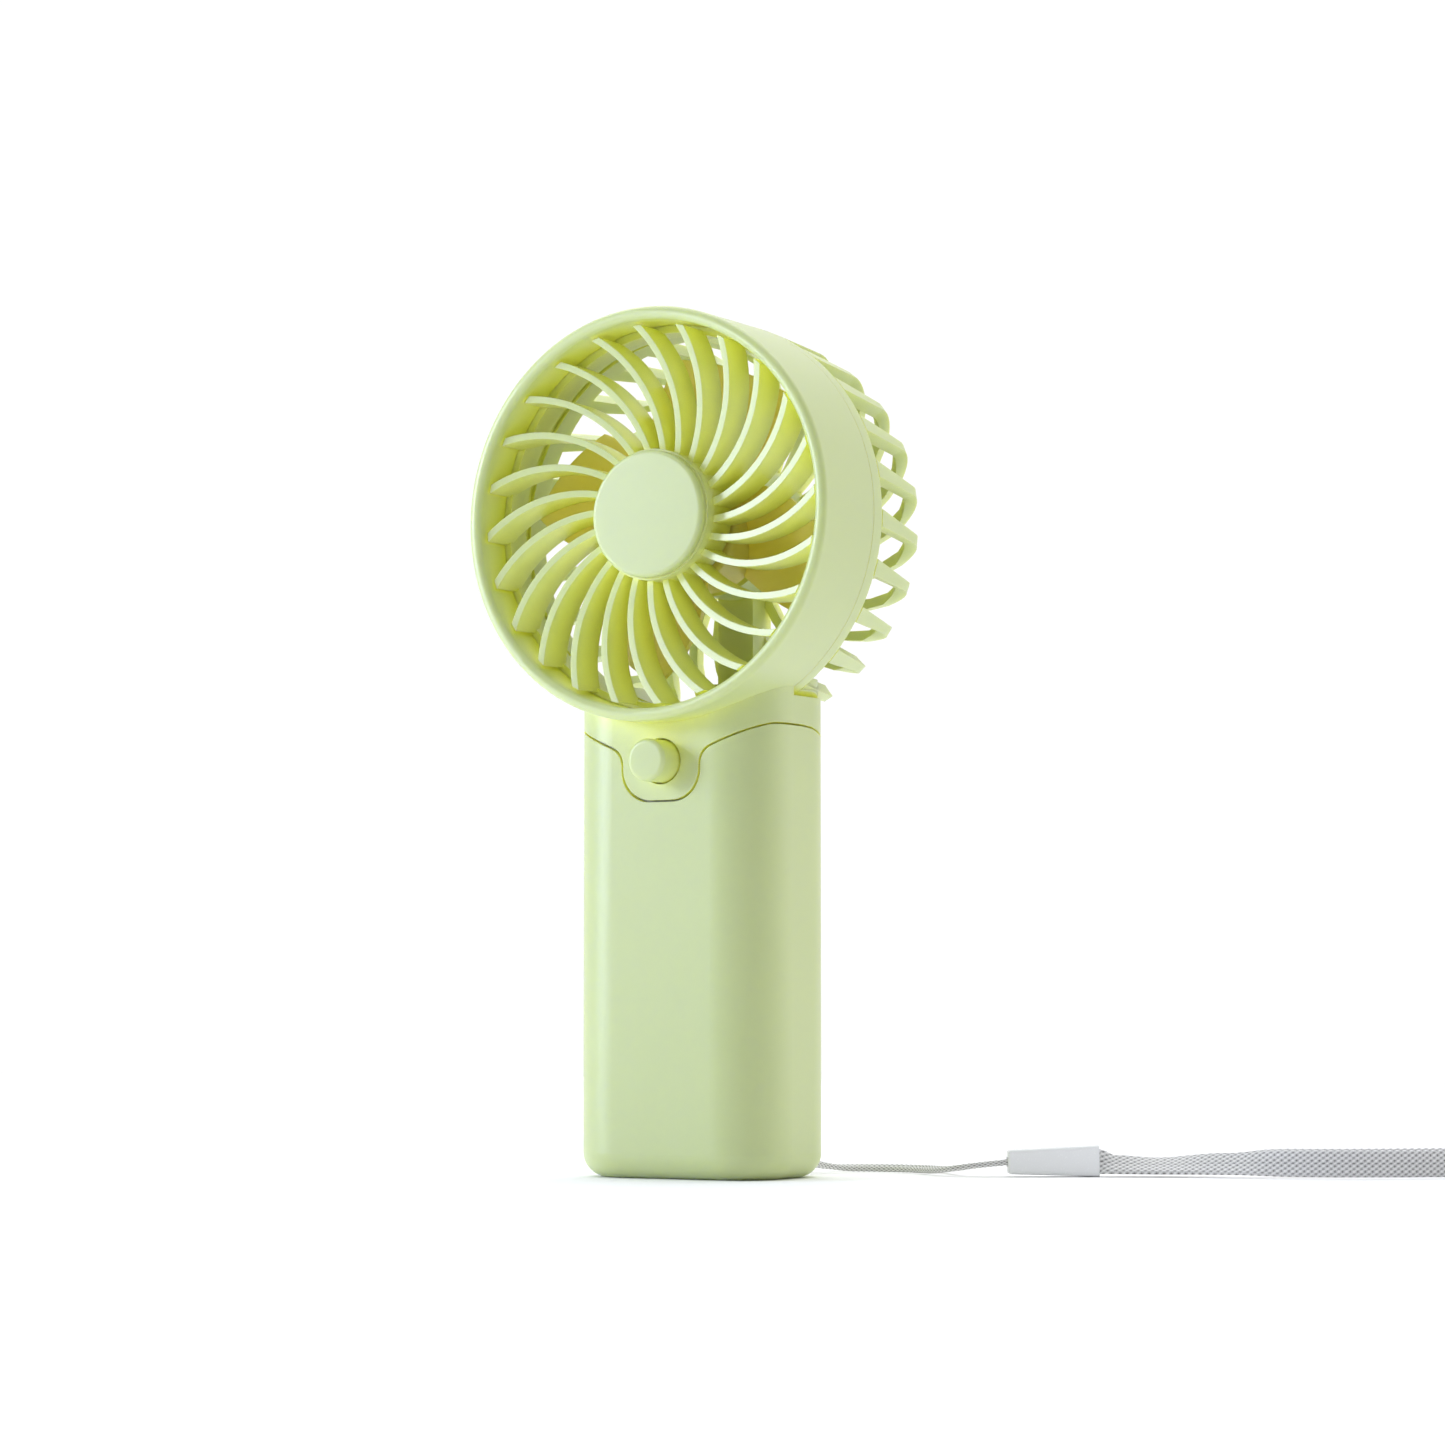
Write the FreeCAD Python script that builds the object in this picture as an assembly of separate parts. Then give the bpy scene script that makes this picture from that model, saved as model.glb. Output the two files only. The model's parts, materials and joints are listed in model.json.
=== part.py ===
"""Handheld electric fan: round caged head on a flat-based battery handle, with a wrist lanyard.

Millimetres. +Z up, the fan blows towards -Y, and the origin is where the handle's axis meets
the surface that the handle stands on. Each sub-part is one STEP file in parts/.
"""
import FreeCAD, Part
import math
import os

from FreeCAD import Vector as V

# ---- driving dimensions -------------------------------------------------------------------
HEIGHT = 175.0                # base to the top of the head ring

# head ring, rear basket and hub
RING_R = 41.8
RING_WALL = 2.6
RING_FRONT_Y = -23.8
PARTING_Y = -3.6              # where the ring meets the rear cover's rim
RIM_BACK_Y = 0.3
EDGE_ROUND = 1.2
HEAD_Z = HEIGHT - RING_R
DUCT_R = RING_R - RING_WALL

HUB_R = 13.3
HUB_CAP_R = 12.9
HUB_CAP_Y = -22.2
CAP_THICK = 1.8
HUB_BACK_Y = -11.0
HUB_WALL = 1.5

FIN_COUNT = 24
FIN_FIRST = math.radians(-6.6)     # angle of one fin's inner end, from +X towards +Z
FIN_SWEEP = math.radians(26.5)     # how far a fin's outer end leads its inner end
FIN_ARC_R = 28.0
FIN_THICK = 1.35
FIN_END_R = 38.4
FIN_FRONT_INNER_Y = -18.0
FIN_FRONT_OUTER_Y = -21.8
FIN_BACK_OUTER_Y = -13.4
SEAT_FRONT_Y = -14.4               # the ring inside the duct that carries the fins
SEAT_BACK_Y = -8.6
SEAT_DEPTH = 1.55

RIB_COUNT = 26
RIB_FIRST = math.radians(50.4)     # angle of one rib's bend, from +X towards +Z
BASKET_R = 40.8                    # at the bend
BASKET_BACK_Y = 21.2
BASKET_BOTTOM_Z = HEAD_Z - BASKET_R
RIB_DEPTH = 2.6
RIB_BEND_R = 4.8
RIB_SIDE_STEPS = 4            # sections along the side, round the bend and across the back
RIB_BEND_STEPS = 8
RIB_BACK_STEPS = 7
RIB_ROOT_WIDTH = 3.4
RIB_BEND_WIDTH = 2.0
RIB_SIDE_TURN = math.radians(0.22)    # turn per millimetre along the side of the cage
RIB_BACK_TURN = math.radians(1.45)    # the same just past the bend, where a rib leans most
RIB_HUB_TURN = math.radians(0.25)     # the same where a rib meets the hub
LIP_INNER_R = 38.5                 # the rear cover's locating lip inside the ring
LIP_FRONT_Y = -5.2
REAR_HUB_R = 14.4
SMALLEST_RIB = 20.0           # mm3; a rib stub smaller than this is lost in the foot
FOOT_BACK_Y = 15.5
FOOT_TOP_Z = 101.0
WIRE_DUCT_HALF_W = 4.2
WIRE_DUCT_WALL = 1.2
CUP_BACK_Y = BASKET_BACK_Y + 0.6
CUP_ROUND = 1.5

# handle
HANDLE_W = 47.0
HANDLE_D = 33.0
HANDLE_CORNER = 12.0
HANDLE_WALL = 1.8
BASE_ROUND = 5.0
SEAM_SIDE_Z = 91.3            # top edge of the sleeve at its sides
SEAM_BACK_Z = 88.6
SEAM_SLOPE_X = 22.2           # where the seam starts down towards the tab
SEAM_BACK_Y = 13.5            # where the seam levels out behind its slope
SEAM_GAP = 0.4
TAB_TOP_Z = 85.8
TAB_BOTTOM_Z = 75.9
TAB_HALF_W = 8.8
TAB_CORNER = 6.4
TAB_FLARE = 4.0
SLOPE_ROUND = 3.0
COLLAR_ROOF_Z = 89.6
SADDLE_TOP_Z = 97.0
LIFT_FIT = 0.3                # gap between the chassis and the sleeve around it

# button
BUTTON_Z = 83.7
BUTTON_R = 4.3
BUTTON_HOLE_R = 4.65
BUTTON_FLANGE_R = 5.4
BUTTON_FRONT_Y = -22.4
FLANGE_Y = (-14.4, -13.4)
STEM_R = 1.2
SWITCH_FRONT_Y = -8.6
SWITCH_HALF_W = 3.5
SWITCH_BORE_R = 1.5
BOARD_HALF_W = 14.0
BOARD_Y = (-1.0, 0.6)
BOARD_TOP_Z = 87.0

# motor
SHAFT_R = 1.0
BUSH_BORE_R = 1.05
MOTOR_R = 12.0
MOTOR_FRONT_Y = -1.5
MOTOR_BACK_Y = 14.5
CAN_WALL = 0.8
CAN_NOSE_R = 3.4
CAN_NOSE_Y = MOTOR_FRONT_Y - 1.3
BUSH_R = 2.2
END_CAP_THICK = 1.6
END_BOSS_R = 3.0
MAGNET_THICK = 2.2
MAGNET_HALF_H = 7.0
TERMINAL_X = 6.0
ARMATURE_Y = (1.5, 9.5)
ARMATURE_R = 8.2
ARMATURE_CORE_R = 3.4
COMMUTATOR_R = 2.6
CUP_FRONT_Y = 4.0

# impeller; blade angles are counted from +X towards +Z
BLADE_COUNT = 4
BLADE_TIP_R = 32.5
BLADE_THICK = 1.3
BLADE_FRONT = (118.0, 86.0)   # a blade's front edge at the hub and at the tip, degrees
BLADE_BACK = (39.0, 50.0)
BLADE_FRONT_Y = (-10.0, -11.7)
BLADE_BACK_Y = 1.9
BLADE_CAMBER = 1.0
IMPELLER_HUB_R = 14.0
IMPELLER_FRONT_Y = -9.5
IMPELLER_SKIRT_Y = 2.6
IMPELLER_BORE_R = MOTOR_R + 0.7
IMPELLER_FACE = 1.8           # thickness of the hub's closed front
IMPELLER_BOSS_R = 3.0

# cells
CELL_R = 7.25
CELL_LEN = 50.5
CELL_X = 7.75
CELL_BOTTOM_Z = 15.6
CELL_CAP_R = 2.6
CELL_CAP_HEIGHT = 1.0
TRAY_HALF_W = 16.6
TRAY_Y = (-8.0, 9.5)
TRAY_BOTTOM_Z = 9.4
TRAY_TOP_Z = 71.0
CHASSIS_WALL = 1.6
SWITCH_WINDOW_HALF_W = 7.0
PLATE_THICK = 0.5
PLATE_HALF_W = 5.0
BRIDGE_HALF_W = 14.0
TONGUE_X = 9.5
TONGUE_HALF_W = 1.0
TONGUE_Y = 5.0
TONGUE_TOP_Z = 74.4
TONGUE_FIT = 0.3
SPRING_R = 3.4
SPRING_WIRE = 0.6
SPRING_FIT = 0.05

# wires and screws
SCREW_X = (-17.0, 17.0)
SCREW_R = 1.2
SCREW_HEAD_R = 2.1
SCREW_HEAD_HEIGHT = 1.6
SCREW_CROSS = (1.4, 0.3)      # half the length and half the width of a slot
SCREW_TOP_Z = 94.0
WIRE_R = 0.55
WIRE_HOLE = (8.4, 12.4)       # y of the hole through the collar's roof for the motor leads
WIRE_HOLE_HALF_W = 2.6

# lanyard
STRAND_R = 0.65
STRAP_WIDTH = 5.4
STRAP_THICK = 1.0
PIN_X = 11.0
PIN_Y = 14.0
PIN_R = 0.9
PIN_Z = (0.9, 8.2)
POCKET_X = (7.6, 14.4)
POCKET_FRONT_Y = 10.4
POCKET_Z = (1.9, 7.2)
POCKET_WALL = 1.5
STRAND_BACK = [(9.3, 14.2, 3.6), (9.0, 22.5, 2.6), (10.5, 33.5, 0.9),
               (16.5, 42.5, 0.8), (26.5, 44.5, 0.8), (36.3, 38.5, 0.9),
               (42.5, 31.0, 1.5), (48.0, 28.9, 2.3), (53.9, 32.0, 3.0)]
STRAND_FRONT = [(12.7, 14.2, 3.6), (12.9, 20.5, 2.8), (15.5, 29.5, 0.9),
                (22.5, 35.0, 0.8), (31.0, 34.2, 0.8), (38.0, 29.0, 0.9),
                (43.6, 26.4, 1.6), (49.0, 27.5, 2.4), (54.5, 30.7, 3.0)]
SLIDER_START = (53.6, 31.1, 3.0)
SLIDER_END = (69.6, 40.6, 3.25)
SLIDER_HEIGHT = 5.9
SLIDER_THICK = 4.4
SLIDER_ROUND = 0.8
MOUTH_DEPTH = 4.0
STRAP_OUT = [(66.9, 39.85), (79.0, 47.7), (93.0, 53.5), (108.0, 58.5), (121.0, 67.0),
             (134.0, 78.5), (148.0, 88.0), (161.5, 93.0)]
STRAP_END = [(171.5, 93.5), (176.0, 86.0), (170.5, 78.5)]
STRAP_BACK = [(159.5, 79.0), (147.5, 76.5), (136.0, 68.5), (124.5, 58.5), (110.5, 50.5),
              (95.0, 48.4), (80.8, 45.2), (67.65, 38.55)]
STRAP_Z = 3.1


# ---- helpers ------------------------------------------------------------------------------
def between(pair, share):
    return pair[0] + (pair[1] - pair[0]) * share


def cylinder_y(radius, y0, y1, x=0.0, z=HEAD_Z):
    """A cylinder along Y, on the head's axis unless told otherwise."""
    return Part.makeCylinder(radius, y1 - y0, V(x, y0, z), V(0, 1, 0))


def tube_y(outer, inner, y0, y1, x=0.0, z=HEAD_Z):
    return cylinder_y(outer, y0, y1, x, z).cut(cylinder_y(inner, y0 - 1, y1 + 1, x, z))


def box(x0, x1, y0, y1, z0, z1):
    return Part.makeBox(x1 - x0, y1 - y0, z1 - z0, V(x0, y0, z0))


def polar(radius, angle, y=0.0):
    """A point round the head's axis, the angle counted from +X towards +Z."""
    return V(radius * math.cos(angle), y, HEAD_Z + radius * math.sin(angle))


def revolved(profile):
    """Turns a closed (radius, y) profile once round the head's axis."""
    points = [V(r, y, HEAD_Z) for r, y in profile]
    face = Part.Face(Part.makePolygon(points + points[:1]))
    return face.revolve(V(0, 0, HEAD_Z), V(0, 1, 0), 360)


def edges_at(shape, axis, value, tol=0.01):
    """The edges that lie wholly at one coordinate."""
    found = []
    for edge in shape.Edges:
        low = getattr(edge.BoundBox, axis + "Min")
        high = getattr(edge.BoundBox, axis + "Max")
        if abs(low - value) < tol and abs(high - value) < tol:
            found.append(edge)
    return found


def edges_along(shape, direction):
    """The straight edges parallel to a direction."""
    found = []
    for edge in shape.Edges:
        if isinstance(edge.Curve, Part.Line) and abs(edge.Curve.Direction.dot(direction)) > 0.999:
            found.append(edge)
    return found


def handle_prism(inset, z0, z1):
    """The handle's rounded-rectangle section, drawn in by an inset, between two heights."""
    w = HANDLE_W / 2 - inset
    d = HANDLE_D / 2 - inset
    block = box(-w, w, -d, d, z0, z1)
    return block.makeFillet(HANDLE_CORNER - inset, edges_along(block, V(0, 0, 1)))


def rounded_path(points):
    """Straight runs joined by tangent arcs, each arc as large as its two runs allow."""
    points = [V(*p) for p in points]
    edges, radii = [], []
    start = points[0]
    for before, corner, after in zip(points, points[1:], points[2:]):
        run_in = (corner - before).Length
        run_out = (after - corner).Length
        into = (corner - before).normalize()
        out = (after - corner).normalize()
        half_turn = into.getAngle(out) / 2
        reach = 0.45 * min(run_in, run_out)
        radius = reach / math.tan(half_turn)
        radii.append(round(radius, 1))
        arc_start = corner - into * reach
        arc_end = corner + out * reach
        to_centre = (out - into).normalize()
        middle = corner + to_centre * (radius / math.cos(half_turn) - radius)
        edges.append(Part.LineSegment(start, arc_start).toShape())
        edges.append(Part.Arc(arc_start, middle, arc_end).toShape())
        start = arc_end
    edges.append(Part.LineSegment(start, points[-1]).toShape())
    return Part.Wire(edges), radii


def swept_tube(name, points, radius):
    path, radii = rounded_path(points)
    first = path.Edges[0]
    section = Part.Wire(Part.makeCircle(radius, V(*points[0]), first.tangentAt(first.FirstParameter)))
    tube = path.makePipeShell([section], True, False)
    ratio = tube.Volume / (math.pi * radius ** 2 * path.Length)
    print(f"{name}: length {path.Length:.1f}, arc radii {radii}, volume / (section x length) {ratio:.3f}")
    return tube


def swept_strap(name, points, z):
    """A flat strap that stands on its edge along a level route."""
    path, radii = rounded_path([(x, y, z) for x, y in points])
    first = path.Edges[0]
    along = first.tangentAt(first.FirstParameter)
    side = V(-along.y, along.x, 0) * (STRAP_THICK / 2)
    up = V(0, 0, STRAP_WIDTH / 2)
    start = V(points[0][0], points[0][1], z)
    corners = [start + side + up, start - side + up, start - side - up, start + side - up]
    section = Part.makePolygon(corners + corners[:1])
    strap = path.makePipeShell([section], True, False)
    ratio = strap.Volume / (STRAP_THICK * STRAP_WIDTH * path.Length)
    print(f"{name}: length {path.Length:.1f}, arc radii {radii}, volume / (section x length) {ratio:.3f}")
    return strap


# ---- head: ring, collar, grille, rear basket ------------------------------------------------
def prism_between(outline, along):
    """A closed outline of points, extruded along a direction."""
    return Part.Face(Part.makePolygon(outline + outline[:1])).extrude(along)


def collar_front(gap):
    """The collar's outline as seen from the front, with its rounded tab, through the front half."""
    side = HANDLE_W
    tab = TAB_HALF_W + gap
    half = [(tab, TAB_BOTTOM_Z - gap), (tab, TAB_TOP_Z - gap), (SEAM_SLOPE_X, SEAM_SIDE_Z - gap),
            (side, SEAM_SIDE_Z - gap), (side, HEAD_Z)]
    mirrored = [(-x, z) for x, z in reversed(half)]
    outline = [V(x, -HANDLE_D, z) for x, z in mirrored + half]
    front = prism_between(outline, V(0, HANDLE_D, 0))
    for (x, z), radius in zip(half, (TAB_CORNER, TAB_FLARE, SLOPE_ROUND)):
        corners = []
        for edge in edges_along(front, V(0, 1, 0)):
            at = edge.CenterOfMass
            if abs(abs(at.x) - x) < 0.01 and abs(at.z - z) < 0.01:
                corners.append(edge)
        front = front.makeFillet(radius, corners)
    return front


def collar_back(gap):
    """The collar's outline as seen from the side, through the back half."""
    outline = [(0, HEAD_Z), (0, SEAM_SIDE_Z - gap), (4, SEAM_SIDE_Z - 0.3 - gap),
               (SEAM_BACK_Y, SEAM_BACK_Z - gap), (HANDLE_D, SEAM_BACK_Z - gap), (HANDLE_D, HEAD_Z)]
    return prism_between([V(-HANDLE_W, y, z) for y, z in outline], V(2 * HANDLE_W, 0, 0))


def above_seam(gap):
    """The space that the collar fills; a gap makes it larger, for what must stay clear of it."""
    return collar_front(gap).fuse(collar_back(gap)).removeSplitter()


def make_head_shell():
    """The ring and the collar below it, moulded in one piece, with the button's tab in front."""
    ring = tube_y(RING_R, DUCT_R, RING_FRONT_Y, PARTING_Y)
    ring = ring.makeFillet(EDGE_ROUND, edges_at(ring, "Y", RING_FRONT_Y))
    collar = handle_prism(0, TAB_BOTTOM_Z - 1, HEAD_Z - RING_R + 12)
    collar = collar.common(above_seam(0))
    collar = collar.cut(handle_prism(HANDLE_WALL, 60, COLLAR_ROOF_Z))
    collar = collar.cut(cylinder_y(DUCT_R, -HANDLE_D, PARTING_Y))
    collar = collar.cut(cylinder_y(RING_R + 0.05, PARTING_Y, HANDLE_D))
    collar = collar.cut(box(-HANDLE_W, HANDLE_W, PARTING_Y, HANDLE_D, SADDLE_TOP_Z, HEAD_Z))
    shell = ring.fuse(collar).removeSplitter()
    shell = shell.cut(cylinder_y(BUTTON_HOLE_R, -HANDLE_D, -5, 0, BUTTON_Z))
    shell = shell.cut(box(-WIRE_HOLE_HALF_W, WIRE_HOLE_HALF_W, *WIRE_HOLE,
                          COLLAR_ROOF_Z - 1, SADDLE_TOP_Z))
    for x in SCREW_X:
        shell = shell.cut(Part.makeCylinder(SCREW_R, SCREW_TOP_Z - 80, V(x, 0, 80)))
    return shell


def front_fin(start_angle):
    """A fin of constant thickness, curved along its length, before it is trimmed to depth."""
    inner = polar(HUB_R - 0.6, start_angle)
    outer = polar(DUCT_R, start_angle + FIN_SWEEP)
    chord = outer - inner
    side = V(0, 1, 0).cross(chord).normalize()
    rise = FIN_ARC_R - math.sqrt(FIN_ARC_R ** 2 - (chord.Length / 2) ** 2)
    middle = (inner + outer) * 0.5 + side * rise
    centre = middle - side * FIN_ARC_R

    def offset(point, amount):
        return centre + (point - centre).normalize() * (FIN_ARC_R + amount)

    half = FIN_THICK / 2
    outline = [Part.Arc(offset(inner, half), offset(middle, half), offset(outer, half)),
               Part.LineSegment(offset(outer, half), offset(outer, -half)),
               Part.Arc(offset(outer, -half), offset(middle, -half), offset(inner, -half)),
               Part.LineSegment(offset(inner, -half), offset(inner, half))]
    face = Part.Face(Part.Wire([side.toShape() for side in outline]))
    face.translate(V(0, FIN_FRONT_OUTER_Y - 1, 0))
    return face.extrude(V(0, HUB_BACK_Y - FIN_FRONT_OUTER_Y + 2, 0))


def make_front_grille():
    """Swept fins between the hub drum and a thin seat ring inside the duct."""
    zone = revolved([(HUB_R - 1.0, FIN_FRONT_INNER_Y), (FIN_END_R, FIN_FRONT_OUTER_Y),
                     (FIN_END_R, FIN_BACK_OUTER_Y), (HUB_R - 1.0, HUB_BACK_Y)])
    fins = []
    for k in range(FIN_COUNT):
        fins.append(front_fin(FIN_FIRST + 2 * math.pi * k / FIN_COUNT).common(zone))
    drum = tube_y(HUB_R, HUB_R - HUB_WALL, HUB_CAP_Y + CAP_THICK, HUB_BACK_Y)
    seat = tube_y(DUCT_R - 0.05, DUCT_R - SEAT_DEPTH, SEAT_FRONT_Y, SEAT_BACK_Y)
    return drum.multiFuse(fins + [seat]).removeSplitter()


def make_hub_cap():
    """The plain disc that closes the hub drum, on a spigot."""
    disc = cylinder_y(HUB_CAP_R, HUB_CAP_Y, HUB_CAP_Y + CAP_THICK)
    disc = disc.makeFillet(CAP_THICK / 2, edges_at(disc, "Y", HUB_CAP_Y))
    spigot = tube_y(HUB_R - HUB_WALL, HUB_R - HUB_WALL - 1.2, HUB_CAP_Y + CAP_THICK, HUB_CAP_Y + 5.5)
    return disc.fuse(spigot)


def rib_stations():
    """Points along a rib's outer face: (radius, y, direction of that face, turn per millimetre)."""
    bend_r = BASKET_R - RIB_BEND_R
    bend_y = BASKET_BACK_Y - RIB_BEND_R
    stations = []
    for k in range(RIB_SIDE_STEPS):
        u = k / RIB_SIDE_STEPS
        stations.append((between((RING_R - 0.05, BASKET_R), u), between((RIM_BACK_Y, bend_y), u),
                         0.0, RIB_SIDE_TURN))
    for k in range(RIB_BEND_STEPS + 1):
        u = k / RIB_BEND_STEPS
        around = math.pi / 2 * u
        stations.append((bend_r + RIB_BEND_R * math.cos(around), bend_y + RIB_BEND_R * math.sin(around),
                         around, between((RIB_SIDE_TURN, RIB_BACK_TURN), u)))
    for k in range(1, RIB_BACK_STEPS + 1):
        u = k / RIB_BACK_STEPS
        stations.append((between((bend_r, REAR_HUB_R - 1.5), u), BASKET_BACK_Y, math.pi / 2,
                         between((RIB_BACK_TURN, RIB_HUB_TURN), u)))
    return stations


def travel_and_angle(stations):
    """How far along the rib each station lies, and its angle, which is 0 where the bend starts."""
    travel, angles = [0.0], [0.0]
    for (r0, y0, _, turn0), (r1, y1, _, turn1) in zip(stations, stations[1:]):
        step = math.hypot(r1 - r0, y1 - y0)
        travel.append(travel[-1] + step)
        angles.append(angles[-1] - (turn0 + turn1) / 2 * step)
    return travel, [angle - angles[RIB_SIDE_STEPS] for angle in angles]


def make_rib():
    """One rib of the cage: back along the side, round the bend, then in to the hub."""
    stations = rib_stations()
    travel, angles = travel_and_angle(stations)
    sections = []
    for (radius, y, around, turn), length, angle in zip(stations, travel, angles):
        taper = min(1.0, length / travel[RIB_SIDE_STEPS])
        width = between((RIB_ROOT_WIDTH, RIB_BEND_WIDTH), taper)
        lean = math.atan(turn * radius)
        across = V(-math.sin(angle), 0, math.cos(angle)) * (width / 2 / math.cos(lean))
        outer = polar(radius, angle, y)
        inner = polar(radius - RIB_DEPTH * math.cos(around), angle, y - RIB_DEPTH * math.sin(around))
        corners = [inner - across, outer - across, outer + across, inner + across]
        sections.append(Part.makePolygon(corners + corners[:1]))
    return Part.makeLoft(sections, True, True)


def rear_hub_cup():
    """The cup at the back that holds the motor."""
    cup = cylinder_y(REAR_HUB_R, CUP_FRONT_Y, CUP_BACK_Y)
    return cup.makeFillet(CUP_ROUND, edges_at(cup, "Y", CUP_BACK_Y))


def rear_foot_and_duct():
    """The foot that fills the cage's lower end, and the wire duct that rises from it to the cup."""
    low = HEAD_Z - RING_R
    foot = handle_prism(0.6, low, FOOT_TOP_Z)
    foot = foot.common(box(-HANDLE_W, HANDLE_W, RIM_BACK_Y - 0.5, FOOT_BACK_Y, low, FOOT_TOP_Z))
    foot = foot.common(cylinder_y(RING_R, 0, HANDLE_D)).cut(cylinder_y(BASKET_R - RIB_DEPTH, 0, HANDLE_D))
    half = WIRE_DUCT_HALF_W
    riser = box(-half, half, 13.6, BASKET_BACK_Y, BASKET_BOTTOM_Z + RIB_DEPTH, HEAD_Z - 10)
    heel = box(-half, half, 8.4, BASKET_BACK_Y - 1.2, BASKET_BOTTOM_Z - 1.4, FOOT_TOP_Z)
    return foot.fuse(riser.fuse(heel).common(cylinder_y(BASKET_R, 0, HANDLE_D)))


def make_rear_cover():
    """The rim with its locating lip, the motor cup, the wire duct and the foot."""
    rim = tube_y(RING_R, DUCT_R - 0.3, PARTING_Y + 0.15, RIM_BACK_Y)
    outer_edge = [e for e in edges_at(rim, "Y", RIM_BACK_Y) if e.Curve.Radius > DUCT_R]
    rim = rim.makeFillet(0.5, outer_edge)
    lip = tube_y(DUCT_R - 0.05, LIP_INNER_R, LIP_FRONT_Y, RIM_BACK_Y)
    cover = rim.multiFuse([lip, rear_hub_cup(), rear_foot_and_duct()])
    cover = cover.cut(cylinder_y(MOTOR_R, CUP_FRONT_Y - 1, BASKET_BACK_Y - 1.6))
    wire_w = WIRE_DUCT_HALF_W - WIRE_DUCT_WALL
    cover = cover.cut(box(-wire_w, wire_w, 9.6, BASKET_BACK_Y - 2.4, 85, 99.8))
    cover = cover.cut(box(-wire_w, wire_w, 14.8, BASKET_BACK_Y - 1.6, 95, HEAD_Z - 5))
    return cover.removeSplitter()


def make_rear_ribs():
    """The cage's ribs, each a separate solid that meets the rim, the cup and the foot."""
    core = rear_hub_cup().fuse(rear_foot_and_duct())
    pattern = make_rib()
    ribs = []
    for k in range(RIB_COUNT):
        rib = pattern.copy()
        rib.rotate(V(0, 0, HEAD_Z), V(0, -1, 0), math.degrees(RIB_FIRST) + 360 / RIB_COUNT * k)
        ribs.extend(solid for solid in rib.cut(core).Solids if solid.Volume > SMALLEST_RIB)
    return Part.makeCompound(ribs)


# ---- motor and impeller ---------------------------------------------------------------------
def make_motor_can():
    can = cylinder_y(MOTOR_R, MOTOR_FRONT_Y, MOTOR_BACK_Y)
    can = can.makeFillet(1.0, edges_at(can, "Y", MOTOR_FRONT_Y))
    can = can.fuse(cylinder_y(CAN_NOSE_R, CAN_NOSE_Y, MOTOR_FRONT_Y + 0.5))
    can = can.cut(cylinder_y(MOTOR_R - CAN_WALL, MOTOR_FRONT_Y + CAN_WALL, MOTOR_BACK_Y + 1))
    return can.cut(cylinder_y(BUSH_R, CAN_NOSE_Y - 1, MOTOR_BACK_Y))


def make_motor_bush():
    return tube_y(BUSH_R, BUSH_BORE_R, CAN_NOSE_Y, MOTOR_FRONT_Y + 2.0)


def make_motor_end_cap():
    plate = cylinder_y(MOTOR_R - CAN_WALL, MOTOR_BACK_Y - END_CAP_THICK, MOTOR_BACK_Y)
    boss = cylinder_y(END_BOSS_R, MOTOR_BACK_Y - 0.5, MOTOR_BACK_Y + 1.4)
    return plate.fuse(boss).cut(cylinder_y(BUSH_BORE_R, MOTOR_BACK_Y - 4, MOTOR_BACK_Y + 0.9))


def make_motor_magnets():
    """Two curved magnets inside the can, on opposite sides."""
    bore = MOTOR_R - CAN_WALL
    ring = tube_y(bore, bore - MAGNET_THICK, MOTOR_FRONT_Y + 2, MOTOR_BACK_Y - 3)
    magnets = []
    for x0, x1 in ((-MOTOR_R, -4.5), (4.5, MOTOR_R)):
        side = box(x0, x1, MOTOR_FRONT_Y, MOTOR_BACK_Y, HEAD_Z - MAGNET_HALF_H, HEAD_Z + MAGNET_HALF_H)
        magnets.append(ring.common(side).Solids[0])
    return Part.makeCompound(magnets)


def make_motor_terminals():
    """Two brass tongues through the end cap."""
    tongues = []
    for x in (-TERMINAL_X, TERMINAL_X):
        tongues.append(box(x - 0.9, x + 0.9, MOTOR_BACK_Y, MOTOR_BACK_Y + 2.4, HEAD_Z - 4.4, HEAD_Z - 4.0))
    return Part.makeCompound(tongues)


def make_motor_shaft():
    return cylinder_y(SHAFT_R, IMPELLER_FRONT_Y + IMPELLER_FACE, MOTOR_BACK_Y + 0.7)


def make_armature():
    """The laminated rotor: three wide poles on a round core, pierced by the shaft."""
    y0, y1 = ARMATURE_Y
    core = cylinder_y(ARMATURE_CORE_R, y0, y1)
    rim = tube_y(ARMATURE_R, ARMATURE_R - 1.3, y0, y1)
    for k in range(3):
        slot = box(-0.6, 0.6, y0 - 1, y1 + 1, HEAD_Z + 6, HEAD_Z + ARMATURE_R + 1)
        slot.rotate(V(0, 0, HEAD_Z), V(0, 1, 0), 120 * k)
        rim = rim.cut(slot)
        arm = box(-1.2, 1.2, y0, y1, HEAD_Z - ARMATURE_R + 1, HEAD_Z - ARMATURE_CORE_R + 0.4)
        arm.rotate(V(0, 0, HEAD_Z), V(0, 1, 0), 120 * k)
        core = core.fuse(arm)
    return core.fuse(rim).cut(cylinder_y(SHAFT_R, y0 - 1, y1 + 1)).removeSplitter()


def make_commutator():
    return tube_y(COMMUTATOR_R, SHAFT_R, ARMATURE_Y[1], ARMATURE_Y[1] + 3.0)


def blade_angle_and_y(radius, u):
    """Where a blade's surface lies, at a radius and a share u of its width from its front edge."""
    share = (radius - IMPELLER_HUB_R) / (BLADE_TIP_R - IMPELLER_HUB_R)
    angle = between((between(BLADE_FRONT, share), between(BLADE_BACK, share)), u)
    y = between((between(BLADE_FRONT_Y, share), BLADE_BACK_Y), u)
    return math.radians(angle), y - BLADE_CAMBER * math.sin(math.pi * u)


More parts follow.
